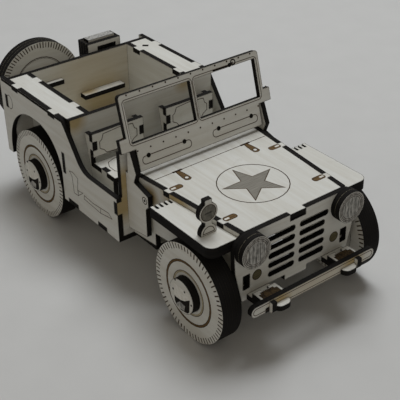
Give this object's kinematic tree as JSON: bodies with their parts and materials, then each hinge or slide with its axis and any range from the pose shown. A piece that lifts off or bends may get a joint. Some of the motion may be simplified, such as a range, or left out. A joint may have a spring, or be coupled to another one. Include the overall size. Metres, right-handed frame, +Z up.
{
  "type": "laser-cut plywood toy army 4x4 car",
  "caption": "Laser-cut plywood toy of an open light army 4x4: slotted plates, raked open windscreen, spare wheel and fuel can on the tailgate, wheels that roll on wooden axles.",
  "frame": {"origin": "on the ground, below the middle of the whole length and width", "axes": "+X forward, +Y to the car's left, +Z up"},
  "size_m": [0.244, 0.1188, 0.1115],
  "materials": {
    "plywood": "bare birch plywood with burned cut edges",
    "dowel": "bare wood"
  },
  "bodies": {
    "body": {"arch_panel_left": "plywood", "arch_panel_right": "plywood", "bonnet": "plywood", "bulkhead": "plywood", "bumper": "plywood", "can_tray": "plywood", "cargo_floor": "plywood", "cowl_left": "plywood", "cowl_right": "plywood", "engine_side_left": "plywood", "engine_side_right": "plywood", "fender_left": "plywood", "fender_lips": "plywood", "fender_right": "plywood", "firewall": "plywood", "floor_plate": "plywood", "fuel_can": "plywood", "grille": "plywood", "headlamps": "plywood", "marker_lamp": "plywood", "rail_left": "plywood", "rail_right": "plywood", "seat_backs": "plywood", "seat_frames": "plywood", "seat_pans": "plywood", "shackle_cheeks": "plywood", "shackle_plates_high": "plywood", "shackle_plates_low": "plywood", "shelf_left": "plywood", "shelf_right": "plywood", "spare_bracket": "plywood", "spare_rim": "plywood", "spare_tyre": "plywood", "tailgate": "plywood", "tub_side_left": "plywood", "tub_side_right": "plywood", "well_walls": "plywood", "windscreen": "plywood"},
    "front_axle": {"front_axle_rod": "dowel", "front_rim_left": "plywood", "front_rim_right": "plywood", "front_tyre_left": "plywood", "front_tyre_right": "plywood"},
    "rear_axle": {"rear_axle_rod": "dowel", "rear_rim_left": "plywood", "rear_rim_right": "plywood", "rear_tyre_left": "plywood", "rear_tyre_right": "plywood"}
  },
  "joints": [
    {"name": "front_axle_turn", "type": "hinge", "parent": "body", "child": "front_axle", "pos_m": [0.0824, 0, 0.0284], "axis": [0, 1, 0], "continuous": true},
    {"name": "rear_axle_turn", "type": "hinge", "parent": "body", "child": "rear_axle", "pos_m": [-0.0715, 0, 0.0284], "axis": [0, 1, 0], "continuous": true}
  ]
}
